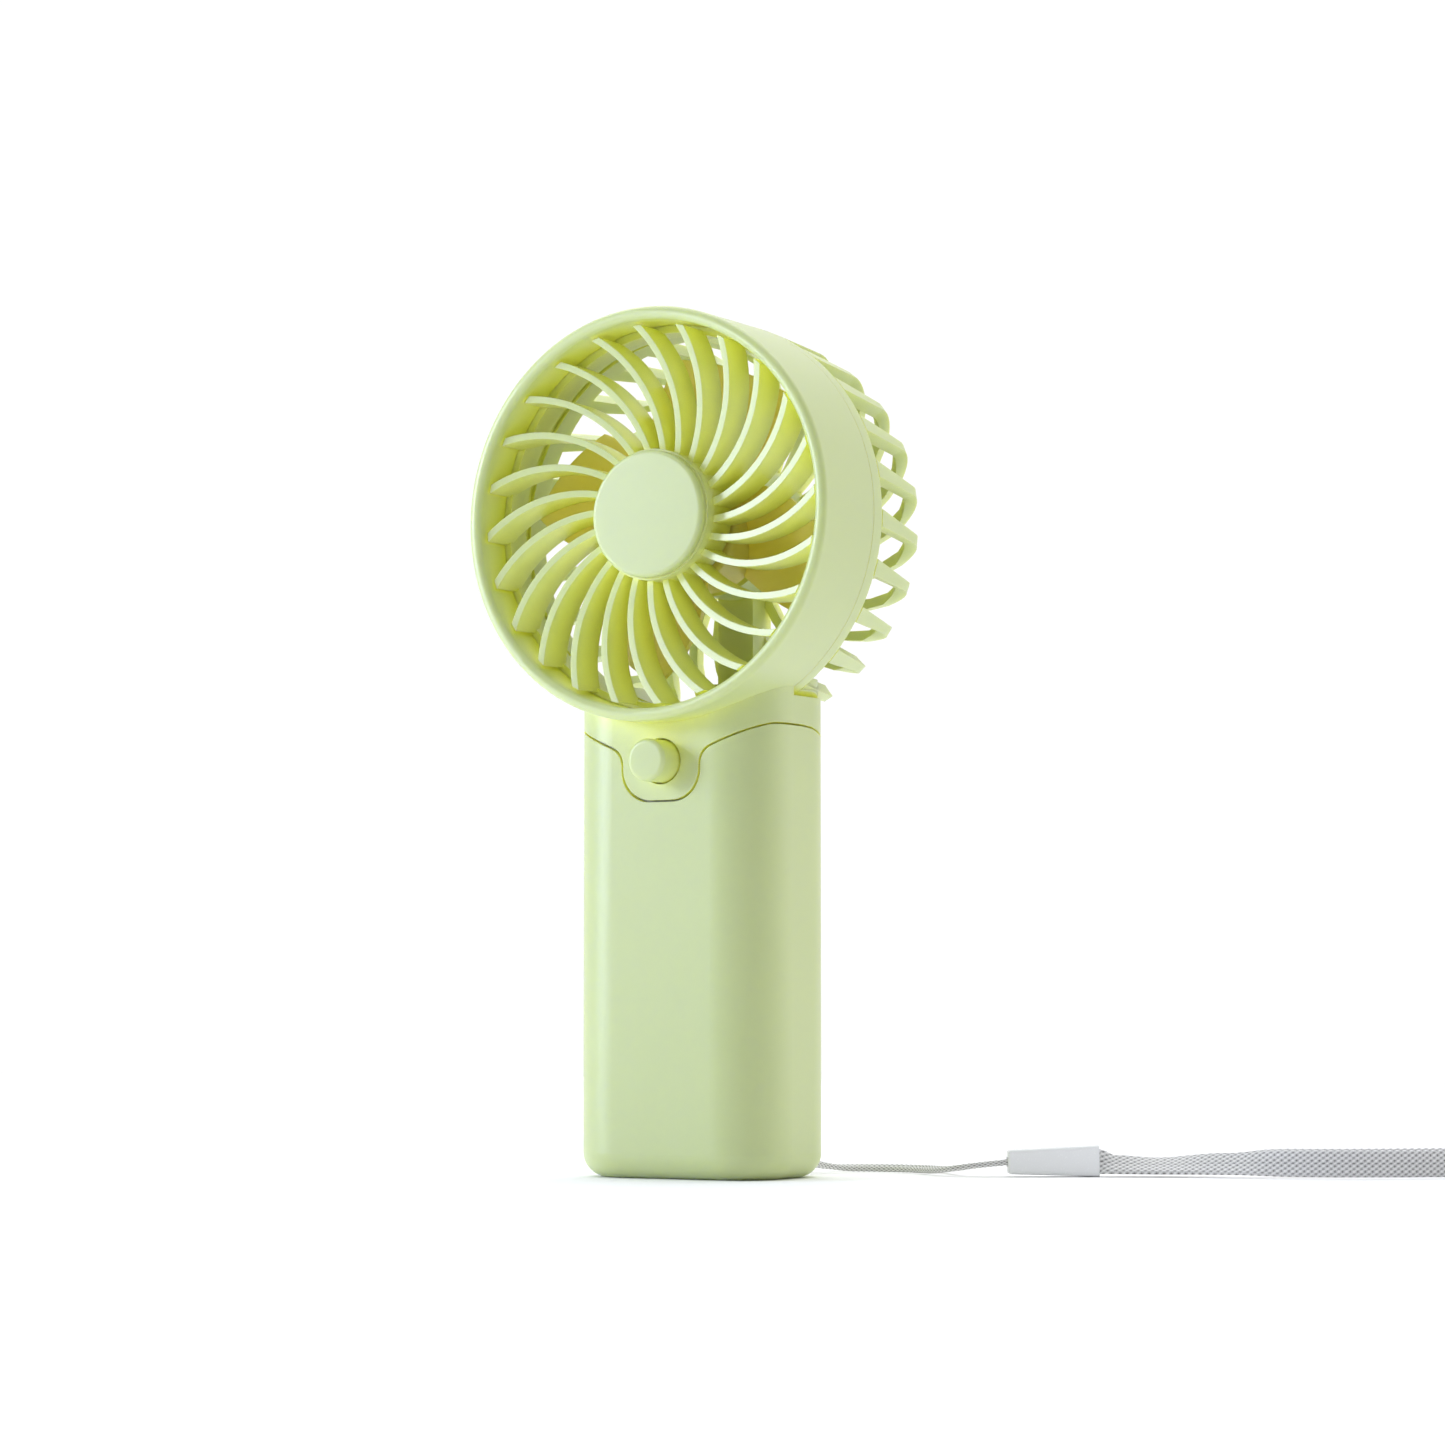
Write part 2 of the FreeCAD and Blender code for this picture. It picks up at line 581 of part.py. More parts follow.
def make_blade():
    """A twisted, swept vane of even thickness."""
    rows = []
    for radius in (IMPELLER_HUB_R - 0.7, 18.5, 24.0, 29.5, BLADE_TIP_R):
        row = []
        for k in range(7):
            angle, y = blade_angle_and_y(radius, k / 6)
            row.append(polar(radius, angle, y))
        rows.append(row)
    surface = Part.BSplineSurface()
    surface.interpolate(rows)
    return surface.toShape().extrude(V(0, BLADE_THICK, 0))


def make_impeller():
    """A cupped hub over the motor's front, its boss on the shaft, and the blades round it."""
    floor_y = IMPELLER_FRONT_Y + IMPELLER_FACE
    hub = cylinder_y(IMPELLER_HUB_R, IMPELLER_FRONT_Y, IMPELLER_SKIRT_Y)
    hub = hub.makeFillet(1.4, edges_at(hub, "Y", IMPELLER_FRONT_Y))
    hub = hub.cut(cylinder_y(IMPELLER_BORE_R, floor_y, IMPELLER_SKIRT_Y + 1))
    hub = hub.fuse(cylinder_y(IMPELLER_BOSS_R, floor_y - 0.8, CAN_NOSE_Y - 0.6))
    hub = hub.cut(cylinder_y(SHAFT_R, floor_y, MOTOR_BACK_Y))
    inside = cylinder_y(IMPELLER_BORE_R, floor_y, MOTOR_BACK_Y)
    blades = []
    for k in range(BLADE_COUNT):
        blade = make_blade()
        blade.rotate(V(0, 0, HEAD_Z), V(0, 1, 0), 360 / BLADE_COUNT * k)
        blades.append(blade.cut(inside))
    return hub.multiFuse(blades).removeSplitter()


# ---- handle -----------------------------------------------------------------------------------
def make_battery_sleeve():
    """The hand grip: a closed-bottomed sleeve, open at the top, with the lanyard pocket."""
    outer = handle_prism(0, 0, SEAM_SIDE_Z + 0.5)
    outer = outer.makeFillet(BASE_ROUND, edges_at(outer, "Z", 0))
    sleeve = outer.cut(handle_prism(HANDLE_WALL, 2.0, SEAM_SIDE_Z + 5)).cut(above_seam(SEAM_GAP))
    x0, x1 = POCKET_X
    z0, z1 = POCKET_Z
    wall = POCKET_WALL
    boss = box(x0 - wall, x1 + wall, POCKET_FRONT_Y - wall, HANDLE_D / 2, 0, z1 + wall)
    sleeve = sleeve.fuse(boss.common(outer))
    sleeve = sleeve.cut(box(x0, x1, POCKET_FRONT_Y, HANDLE_D, z0, z1))
    return sleeve.cut(make_lanyard_pin()).removeSplitter()


def make_lanyard_pin():
    return Part.makeCylinder(PIN_R, PIN_Z[1] - PIN_Z[0], V(PIN_X, PIN_Y, PIN_Z[0]))


def tongue_slots(z0, z1):
    """Two slots that let the contact plates' tongues through, with clearance all round."""
    half = TONGUE_HALF_W + TONGUE_FIT
    slots = []
    for x in (-TONGUE_X, TONGUE_X):
        slots.append(box(x - half, x + half, TONGUE_Y - TONGUE_FIT, TONGUE_Y + PLATE_THICK + TONGUE_FIT,
                         z0, z1))
    return slots


def make_switch_box():
    """The chassis's hollow upper half, which fills the collar and carries the switch."""
    top = COLLAR_ROOF_Z - 0.1
    inset = HANDLE_WALL + LIFT_FIT
    shell = handle_prism(inset, TRAY_TOP_Z, top)
    shell = shell.cut(handle_prism(inset + CHASSIS_WALL, TRAY_TOP_Z + CHASSIS_WALL, top - CHASSIS_WALL))
    window = SWITCH_WINDOW_HALF_W
    shell = shell.cut(box(-window, window, -20, -10.8, BUTTON_Z - BUTTON_FLANGE_R - 0.8, top + 1))
    shell = shell.cut(box(-WIRE_HOLE_HALF_W, WIRE_HOLE_HALF_W, *WIRE_HOLE, top - 3, top + 1))
    for x in SCREW_X:
        shell = shell.cut(Part.makeCylinder(SCREW_R, 5, V(x, 0, top - 3)))
    for slot in tongue_slots(TRAY_TOP_Z - 1, TRAY_TOP_Z + 3):
        shell = shell.cut(slot)
    return shell


def make_cell_tray():
    """The chassis's lower half: a trough for two cells side by side, open at the front."""
    floor_z = TRAY_BOTTOM_Z + CHASSIS_WALL
    roof_z = TRAY_TOP_Z - CHASSIS_WALL
    tray = box(-TRAY_HALF_W, TRAY_HALF_W, *TRAY_Y, TRAY_BOTTOM_Z, TRAY_TOP_Z)
    tray = tray.cut(box(-HANDLE_W, HANDLE_W, TRAY_Y[0] - 1, 0, floor_z, roof_z))
    for x in (-CELL_X, CELL_X):
        tray = tray.cut(Part.makeCylinder(CELL_R + 0.3, roof_z - floor_z, V(x, 0, floor_z)))
    for slot in tongue_slots(TRAY_TOP_Z - 3, TRAY_TOP_Z + 1):
        tray = tray.cut(slot)
    recess = BRIDGE_HALF_W + 0.2
    return tray.cut(box(-recess, recess, TRAY_Y[0] - 1, 6.2, floor_z, floor_z + PLATE_THICK + 0.1))


def make_battery_chassis():
    """The frame inside the handle: the switch box on top and the cells' trough below."""
    return make_switch_box().fuse(make_cell_tray()).removeSplitter()


def make_cell(side):
    """A cylindrical dry cell with its small positive cap; the two stand opposite ways up."""
    body = Part.makeCylinder(CELL_R, CELL_LEN - CELL_CAP_HEIGHT)
    body = body.makeFillet(0.7, body.Edges[0:1] + body.Edges[2:3])
    cap_z = CELL_LEN - CELL_CAP_HEIGHT - 0.6
    cell = body.fuse(Part.makeCylinder(CELL_CAP_R, CELL_LEN - cap_z, V(0, 0, cap_z)))
    if side < 0:
        cell.rotate(V(0, 0, CELL_LEN / 2), V(1, 0, 0), 180)
    cell.translate(V(side * CELL_X, 0, CELL_BOTTOM_Z))
    return cell


def make_bridge_plate():
    """The plate at the trough's foot that joins the two cells."""
    z = TRAY_BOTTOM_Z + CHASSIS_WALL
    return box(-BRIDGE_HALF_W, BRIDGE_HALF_W, -6, 6, z, z + PLATE_THICK)


def make_contact_plates():
    """Two plates at the trough's head, each with a tongue up through the floor of the switch box."""
    z = TRAY_TOP_Z - CHASSIS_WALL
    half = PLATE_HALF_W
    plates = []
    for s in (-1, 1):
        plate = box(s * CELL_X - half, s * CELL_X + half, -half, half, z - PLATE_THICK, z)
        tongue = box(s * TONGUE_X - TONGUE_HALF_W, s * TONGUE_X + TONGUE_HALF_W,
                     TONGUE_Y, TONGUE_Y + PLATE_THICK, z - PLATE_THICK, TONGUE_TOP_Z)
        plates.append(plate.fuse(tongue).removeSplitter())
    return Part.makeCompound(plates)


def coil(centre, axis, radius, wire, length, turns):
    """A helical spring whose first end is at the centre point."""
    helix = Part.makeHelix(length / turns, length, radius)
    section = Part.Wire(Part.makeCircle(wire / 2, V(radius, 0, 0), V(0, 1, 0)))
    spring = Part.Wire(helix.Edges).makePipeShell([section], True, True)
    spring.Placement = FreeCAD.Placement(centre, FreeCAD.Rotation(V(0, 0, 1), axis))
    return spring


def make_contact_springs():
    """The springs that press each cell's flat end: one at the foot, one at the head."""
    wire = SPRING_WIRE
    foot = TRAY_BOTTOM_Z + CHASSIS_WALL + PLATE_THICK + wire / 2 + 0.02
    head = TRAY_TOP_Z - CHASSIS_WALL - PLATE_THICK - wire / 2 - 0.02
    cell_head = CELL_BOTTOM_Z + CELL_LEN + wire / 2 + SPRING_FIT
    low_length = CELL_BOTTOM_Z - foot - wire / 2 - SPRING_FIT
    high_length = head - CELL_BOTTOM_Z - CELL_LEN - wire / 2 - SPRING_FIT
    low = coil(V(CELL_X, 0, foot), V(0, 0, 1), SPRING_R, wire, low_length, 3)
    high = coil(V(-CELL_X, 0, cell_head), V(0, 0, 1), SPRING_R, wire, high_length, 2)
    return Part.makeCompound([low, high])


# ---- button and switch ------------------------------------------------------------------------
def make_push_button():
    """The round button with its inner flange and stem."""
    cap = cylinder_y(BUTTON_R, BUTTON_FRONT_Y, FLANGE_Y[1], 0, BUTTON_Z)
    cap = cap.makeFillet(0.9, edges_at(cap, "Y", BUTTON_FRONT_Y))
    flange = cylinder_y(BUTTON_FLANGE_R, FLANGE_Y[0], FLANGE_Y[1], 0, BUTTON_Z)
    stem = cylinder_y(STEM_R, FLANGE_Y[1], SWITCH_FRONT_Y + 0.8, 0, BUTTON_Z)
    return cap.fuse(flange).fuse(stem).removeSplitter()


def make_button_spring():
    wire = 0.4
    start = FLANGE_Y[1] + wire / 2 + 0.02
    length = SWITCH_FRONT_Y - wire / 2 - 0.02 - start
    return coil(V(0, start, BUTTON_Z), V(0, 1, 0), 2.2, wire, length, 4)


def make_switch_body():
    """The latching switch behind the button, with a bore that takes the stem."""
    half = SWITCH_HALF_W
    body = box(-half, half, SWITCH_FRONT_Y, BOARD_Y[0], BUTTON_Z - half, BUTTON_Z + half)
    return body.cut(cylinder_y(SWITCH_BORE_R, SWITCH_FRONT_Y - 1, SWITCH_FRONT_Y + 4.0, 0, BUTTON_Z))


def make_switch_board():
    return box(-BOARD_HALF_W, BOARD_HALF_W, *BOARD_Y, TRAY_TOP_Z + CHASSIS_WALL + 0.4, BOARD_TOP_Z)


# ---- wires and screws ---------------------------------------------------------------------------
def make_chassis_screws():
    """Two screws from inside the switch box up into the collar."""
    seat = COLLAR_ROOF_Z - 0.1 - CHASSIS_WALL
    foot = seat - SCREW_HEAD_HEIGHT
    long, short = SCREW_CROSS
    screws = []
    for x in SCREW_X:
        head = Part.makeCylinder(SCREW_HEAD_R, SCREW_HEAD_HEIGHT, V(x, 0, foot))
        head = head.makeFillet(0.5, edges_at(head, "Z", foot))
        slot = box(x - long, x + long, -short, short, foot - 0.1, foot + 0.6)
        cross = box(x - short, x + short, -long, long, foot - 0.1, foot + 0.6)
        shank = Part.makeCylinder(SCREW_R, SCREW_TOP_Z - seat, V(x, 0, seat))
        screws.append(head.fuse(shank).cut(slot).cut(cross).removeSplitter())
    return Part.makeCompound(screws)


def motor_lead_route(side):
    """From the switch board, up through the collar and the rear duct, to a motor terminal."""
    x = side * 1.2
    return [(x, BOARD_Y[1] + WIRE_R + 0.05, 76.0), (x, 3.0, 81.5), (x, 9.9, 85.5), (x, 11.4, 92.5),
            (x, 15.8, 97.5), (x, 16.5, 105.5), (x, 16.4, 116.0), (side * 1.6, 16.3, 124.0),
            (side * 5.9, 16.2, HEAD_Z - 5.1)]


def cell_lead_route(side):
    """From a contact plate's tongue up to the back of the switch board."""
    return [(side * TONGUE_X, 5.25, TONGUE_TOP_Z + 0.05), (side * TONGUE_X, 5.5, 77.9),
            (side * TONGUE_X, 3.6, 80.6), (side * TONGUE_X, BOARD_Y[1] + 0.05, 80.9)]


# ---- lanyard ------------------------------------------------------------------------------------
def make_slider():
    """The moulded slider that joins the thin cord to the strap, a little taller at its mouth."""
    start, end = V(*SLIDER_START), V(*SLIDER_END)
    length = (end - start).Length
    w, low, high = SLIDER_THICK / 2, SLIDER_HEIGHT / 2 - 0.5, SLIDER_HEIGHT / 2 + 0.25
    outline = Part.makePolygon([V(0, -w, -low), V(length, -w, -high), V(length, -w, high),
                                V(0, -w, low), V(0, -w, -low)])
    body = Part.Face(outline).extrude(V(0, 2 * w, 0))
    body = body.makeFillet(SLIDER_ROUND, [e for e in body.Edges if e.BoundBox.XMin < length - 1])
    mouth = box(length - MOUTH_DEPTH, length + 1, -1.6, 1.6, -STRAP_WIDTH / 2 - 0.2, STRAP_WIDTH / 2 + 0.1)
    entry = box(-1, 2.0, -1.5, 1.5, -0.9, 0.9)
    body = body.cut(mouth).cut(entry)
    body.Placement = FreeCAD.Placement(start, FreeCAD.Rotation(V(1, 0, 0), end - start))
    return body


# ---- build --------------------------------------------------------------------------------------
def all_parts():
    return {
        "head_shell": make_head_shell(),
        "front_grille": make_front_grille(),
        "hub_cap": make_hub_cap(),
        "rear_cover": make_rear_cover(),
        "rear_ribs": make_rear_ribs(),
        "motor_can": make_motor_can(),
        "motor_bush": make_motor_bush(),
        "motor_end_cap": make_motor_end_cap(),
        "motor_magnets": make_motor_magnets(),
        "motor_terminals": make_motor_terminals(),
        "motor_shaft": make_motor_shaft(),
        "motor_armature": make_armature(),
        "motor_commutator": make_commutator(),
        "impeller": make_impeller(),
        "battery_sleeve": make_battery_sleeve(),
        "lanyard_pin": make_lanyard_pin(),
        "battery_chassis": make_battery_chassis(),
        "cell_left": make_cell(-1),
        "cell_right": make_cell(1),
        "bridge_plate": make_bridge_plate(),
        "contact_plates": make_contact_plates(),
        "contact_springs": make_contact_springs(),
        "push_button": make_push_button(),
        "button_spring": make_button_spring(),
        "switch_body": make_switch_body(),
        "switch_board": make_switch_board(),
        "chassis_screws": make_chassis_screws(),
        "motor_lead_red": swept_tube("motor_lead_red", motor_lead_route(1), WIRE_R),
        "motor_lead_black": swept_tube("motor_lead_black", motor_lead_route(-1), WIRE_R),
        "cell_lead_red": swept_tube("cell_lead_red", cell_lead_route(1), WIRE_R),
        "cell_lead_black": swept_tube("cell_lead_black", cell_lead_route(-1), WIRE_R),
        "lanyard_strand_back": swept_tube("lanyard_strand_back", STRAND_BACK, STRAND_R),
        "lanyard_strand_front": swept_tube("lanyard_strand_front", STRAND_FRONT, STRAND_R),
        "lanyard_slider": make_slider(),
        "lanyard_strap": swept_strap("lanyard_strap", STRAP_OUT + STRAP_END + STRAP_BACK, STRAP_Z),
    }


def main():
    os.makedirs("parts", exist_ok=True)
    for name, shape in all_parts().items():
        if not shape.isValid():
            print("NOT VALID", name)
        print(f"{name}: {len(shape.Solids)} solid(s), {shape.Volume:.1f} mm3")
        shape.exportStep(f"parts/{name}.step")


main()
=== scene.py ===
"""Looks of the handheld electric fan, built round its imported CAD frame. Metres, +Z up, front to -Y."""
import json
import math

import bmesh
import bpy
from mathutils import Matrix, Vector


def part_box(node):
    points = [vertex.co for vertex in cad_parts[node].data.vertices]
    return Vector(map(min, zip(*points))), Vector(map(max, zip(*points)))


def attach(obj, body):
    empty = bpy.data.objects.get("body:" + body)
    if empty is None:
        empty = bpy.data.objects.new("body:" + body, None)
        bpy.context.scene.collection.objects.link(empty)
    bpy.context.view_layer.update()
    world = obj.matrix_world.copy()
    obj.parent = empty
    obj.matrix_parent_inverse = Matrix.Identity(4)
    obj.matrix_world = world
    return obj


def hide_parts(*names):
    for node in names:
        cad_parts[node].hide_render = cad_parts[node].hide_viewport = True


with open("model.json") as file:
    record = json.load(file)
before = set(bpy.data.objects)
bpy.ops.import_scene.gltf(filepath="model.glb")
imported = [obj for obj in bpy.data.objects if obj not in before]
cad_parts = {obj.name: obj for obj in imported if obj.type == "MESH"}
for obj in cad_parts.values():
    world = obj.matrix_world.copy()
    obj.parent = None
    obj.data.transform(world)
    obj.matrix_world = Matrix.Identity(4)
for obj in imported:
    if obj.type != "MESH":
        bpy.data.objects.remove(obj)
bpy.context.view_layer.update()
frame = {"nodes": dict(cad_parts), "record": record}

MM = 0.001
FAN_NODES = frame["nodes"]
CELL_LOW, CELL_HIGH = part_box("cell_left")

# ---- camera -------------------------------------------------------------------------------------
CAMERA_DISTANCE = 0.800
CAMERA_TURN = math.radians(30.20)      # the fan's front faces this far to the left of the camera
CAMERA_TILT = math.radians(3.85)
CAMERA_HEIGHT = 0.0360
CAMERA_SIDE = 0.00415
CAMERA_LENS = 97.57
CAMERA_SENSOR = 36.0
CAMERA_SHIFT_Y = 0.009


def make_camera():
    """Stands low in front of the fan, round to its own left, and looks slightly up."""
    data = bpy.data.cameras.new("camera")
    data.lens = CAMERA_LENS
    data.sensor_width = CAMERA_SENSOR
    data.shift_y = CAMERA_SHIFT_Y
    data.clip_start = 0.01
    camera = bpy.data.objects.new("camera", data)
    bpy.context.scene.collection.objects.link(camera)
    to_right = Vector((math.cos(CAMERA_TURN), math.sin(CAMERA_TURN), 0))
    ahead = Vector((-math.sin(CAMERA_TURN), math.cos(CAMERA_TURN), 0))
    camera.location = -CAMERA_DISTANCE * ahead + CAMERA_SIDE * to_right + Vector((0, 0, CAMERA_HEIGHT))
    camera.rotation_euler = (math.pi / 2 + CAMERA_TILT, 0, CAMERA_TURN)
    bpy.context.scene.camera = camera


# ---- lanyard routes, as in the CAD part, in millimetres -----------------------------------------
STRAND_BACK = [(9.3, 14.2, 3.6), (9.0, 22.5, 2.6), (10.5, 33.5, 0.9),
               (16.5, 42.5, 0.8), (26.5, 44.5, 0.8), (36.3, 38.5, 0.9),
               (42.5, 31.0, 1.5), (48.0, 28.9, 2.3), (53.9, 32.0, 3.0)]
STRAND_FRONT = [(12.7, 14.2, 3.6), (12.9, 20.5, 2.8), (15.5, 29.5, 0.9),
                (22.5, 35.0, 0.8), (31.0, 34.2, 0.8), (38.0, 29.0, 0.9),
                (43.6, 26.4, 1.6), (49.0, 27.5, 2.4), (54.5, 30.7, 3.0)]
STRAP_OUT = [(66.9, 39.85), (79.0, 47.7), (93.0, 53.5), (108.0, 58.5), (121.0, 67.0),
             (134.0, 78.5), (148.0, 88.0), (161.5, 93.0)]
STRAP_END = [(171.5, 93.5), (176.0, 86.0), (170.5, 78.5)]
STRAP_BACK = [(159.5, 79.0), (147.5, 76.5), (136.0, 68.5), (124.5, 58.5), (110.5, 50.5),
              (95.0, 48.4), (80.8, 45.2), (67.65, 38.55)]
STRAP_Z = 3.1

# ---- lanyard make-up, in metres -----------------------------------------------------------------
STRAND_R = 0.65 * MM
STRAND_SIDES = 20
STRAND_STEP = 0.16 * MM
STRAND_TURNS = 3              # waves of each set of yarns round the cord
STRAND_PITCH = 2.2 * MM
STRAND_CORE = 0.84            # share of the radius that the braid's hollows reach
STRAP_WIDTH = 5.4 * MM
STRAP_THICK = 1.0 * MM
STRAP_STEP = 0.3 * MM
STRAP_ACROSS = 18
STRAP_TURNS = 2.5
STRAP_PITCH = 3.0 * MM
STRAP_CORE = 0.62
STRAP_CLEAR = 0.35 * MM       # height of the strap's lower edge above the floor
SELVEDGE = 0.14               # share of the strap's half width over which it thins out

# how far the strap leans over, in degrees, by the share of the way from the slider to the loop's end
STRAP_LEANS = [(0.0, 0.0), (0.05, 50.0), (0.12, 58.0), (0.24, 40.0), (0.34, 10.0), (0.60, 4.0), (1.0, 0.0)]

# ---- colours, floor and light -------------------------------------------------------------------
PASTEL = (0.565, 0.645, 0.30)
# deeper colour painted as shade into the shell's crowded-in faces
PAINTED_SHADE_LIME = (0.97, 1.0, 0.23)
MUSTARD = (0.88, 0.73, 0.20)
CAP_STEEL = (0.62, 0.62, 0.63)
JACKET_GREEN = (0.018, 0.05, 0.035)
JACKET_GOLD = (0.60, 0.46, 0.16)
MASK_GREENS = ((0.012, 0.10, 0.035), (0.015, 0.12, 0.04))
TRACK_GREEN = (0.03, 0.19, 0.07)
YARN_CROWN = (0.88, 0.87, 0.86)
# painted shade in the hollows between the yarns
YARN_HOLLOW_SHADE = (0.10, 0.095, 0.09)
# painted shade: shell faces crowded in by others within this reach take the deeper colour
PAINTED_SHADE_REACH = 0.012
PAINTED_SHADE_SPAN = (0.20, 0.80)     # openness at which the painted shade colour is full, and at which it is gone
FLOOR_ZONE = (0.012, 0.030)     # heights between which the painted shade sets in: the floor shelters lower faces

FLOOR_HALF = 0.85
SURROUND_FRONT = (0.30, 0.31, 0.32)
SURROUND_STRENGTH = 1.02
SURROUND_BLEND = (0.42, 0.66)   # where it starts and ends turning white, 0 being ahead, 1 behind
KEY_POWER = 1.25
STRIP_POWER = 2.2
TOP_POWER = 19.0
SIDE_POWER = 0.6


# ---- small helpers ------------------------------------------------------------------------------
def link(obj):
    bpy.context.scene.collection.objects.link(obj)
    return obj


def mesh_object(name, bm):
    """Turns a bmesh into a linked, smooth-shaded object."""
    mesh = bpy.data.meshes.new(name)
    bm.normal_update()
    bm.to_mesh(mesh)
    bm.free()
    for polygon in mesh.polygons:
        polygon.use_smooth = True
    return link(bpy.data.objects.new(name, mesh))


def route_points(name, route, resolution=24):
    """Points along the NURBS line that a route's points control, in metres."""
    curve = bpy.data.curves.new(name + "_route", "CURVE")
    curve.dimensions = "3D"
    curve.resolution_u = resolution
    spline = curve.splines.new("NURBS")
    spline.points.add(len(route) - 1)
    for point, place in zip(spline.points, route):
        point.co = (place[0] * MM, place[1] * MM, place[2] * MM, 1)
    spline.order_u = 3
    spline.use_endpoint_u = True
    holder = link(bpy.data.objects.new(name + "_route", curve))
    mesh = bpy.data.meshes.new_from_object(holder)
    points = [v.co.copy() for v in mesh.vertices]
    bpy.data.objects.remove(holder)
    bpy.data.curves.remove(curve)
    bpy.data.meshes.remove(mesh)
    return points


def evenly(points, spacing):
    """The same line, with points at an even spacing."""
    lengths = [0.0]
    for a, b in zip(points, points[1:]):
        lengths.append(lengths[-1] + (b - a).length)
    count = max(2, round(lengths[-1] / spacing))
    result, i = [], 0
    for k in range(count + 1):
        target = lengths[-1] * k / count
        while i < len(points) - 2 and lengths[i + 1] < target:
            i += 1
        share = (target - lengths[i]) / max(lengths[i + 1] - lengths[i], 1e-9)
        result.append(points[i].lerp(points[i + 1], min(max(share, 0), 1)))
    return result


def line_length(points):
    return sum((b - a).length for a, b in zip(points, points[1:]))


def side_frames(points):
    """A level sideways direction and an upward direction at each point of a line."""
    frames = []
    for i in range(len(points)):
        ahead = points[min(i + 1, len(points) - 1)] - points[max(i - 1, 0)]
        ahead.normalize()
        side = Vector((0, 0, 1)).cross(ahead).normalized()
        frames.append((side, ahead.cross(side).normalized()))
    return frames


# ---- materials ----------------------------------------------------------------------------------
class Nodes:
    """One node material under construction."""

    def __init__(self, name, **sockets):
        self.material = bpy.data.materials.new(name)
        self.material.use_nodes = True
        self.tree = self.material.node_tree
        self.shader = self.tree.nodes["Principled BSDF"]
        for socket, value in sockets.items():
            self.shader.inputs[socket.replace("_", " ")].default_value = value
        self.place = self.add("ShaderNodeTexCoord").outputs["Object"]

    def add(self, kind, **settings):
        node = self.tree.nodes.new(kind)
        for key, value in settings.items():
            setattr(node, key, value)
        return node

    def join(self, source, target):
        self.tree.links.new(source, target)

    def noise(self, scale, detail=3.0, roughness=0.5, distortion=0.0, stretch=None):
        node = self.add("ShaderNodeTexNoise")
        node.inputs["Scale"].default_value = scale
        node.inputs["Detail"].default_value = detail
        node.inputs["Roughness"].default_value = roughness
        node.inputs["Distortion"].default_value = distortion
        place = self.place
        if stretch:
            mapping = self.add("ShaderNodeMapping")
            mapping.inputs["Scale"].default_value = stretch
            self.join(place, mapping.inputs["Vector"])
            place = mapping.outputs["Vector"]
        self.join(place, node.inputs["Vector"])
        return node.outputs["Fac"]

    def ramp(self, factor, stops):
        node = self.add("ShaderNodeValToRGB")
        elements = node.color_ramp.elements
        while len(elements) < len(stops):
            elements.new(0.5)
        for element, (position, colour) in zip(elements, stops):
            element.position = position
            element.color = (*colour, 1)
        self.join(factor, node.inputs["Fac"])
        return node.outputs["Color"]

    def spread(self, factor, low, high, span=(0.0, 1.0)):
        """Maps a value in a span onto a range, and keeps it within that range."""
        node = self.add("ShaderNodeMapRange")
        node.inputs["From Min"].default_value = span[0]
        node.inputs["From Max"].default_value = span[1]
        node.inputs["To Min"].default_value = low
        node.inputs["To Max"].default_value = high
        self.join(factor, node.inputs["Value"])
        return node.outputs["Result"]

    def bump(self, height, distance, strength=1.0, edge=0.0):
        """Adds relief to the shader, over softened edges where edge is a radius."""
        node = self.add("ShaderNodeBump")
        node.inputs["Distance"].default_value = distance
        node.inputs["Strength"].default_value = strength
        self.join(height, node.inputs["Height"])
        if edge:
            bevel = self.add("ShaderNodeBevel", samples=4)
            bevel.inputs["Radius"].default_value = edge
            self.join(bevel.outputs["Normal"], node.inputs["Normal"])
        self.join(node.outputs["Normal"], self.shader.inputs["Normal"])

    def openness(self, reach):
        """1 on open faces, falling to 0 where other faces or the floor crowd in within a reach."""
        node = self.add("ShaderNodeAmbientOcclusion", samples=6)
        node.inputs["Distance"].default_value = reach
        return node.outputs["AO"]

    def height(self, low, high):
        """0 below one height of the CAD frame, rising to 1 at another."""
        split = self.add("ShaderNodeSeparateXYZ")
        self.join(self.place, split.inputs["Vector"])
        return self.spread(split.outputs["Z"], 0.0, 1.0, (low, high))

    def product(self, a, b):
        node = self.add("ShaderNodeMath", operation="MULTIPLY")
        self.join(a, node.inputs[0])
        self.join(b, node.inputs[1])
        return node.outputs["Value"]

    def tint(self, factor, base, colour):
        """The base colour, turning into a plain colour as the factor goes from 0 to 1."""
        node = self.add("ShaderNodeMix", data_type="RGBA")
        self.join(factor, node.inputs["Factor"])
        self.join(base, node.inputs[6])
        node.inputs[7].default_value = (*colour, 1)
        return node.outputs[2]

    def colour(self, output):
        self.join(output, self.shader.inputs["Base Color"])

    def roughness(self, output):
        self.join(output, self.shader.inputs["Roughness"])


def shade(colour, amount):
    return tuple(min(1.0, c * amount) for c in colour)


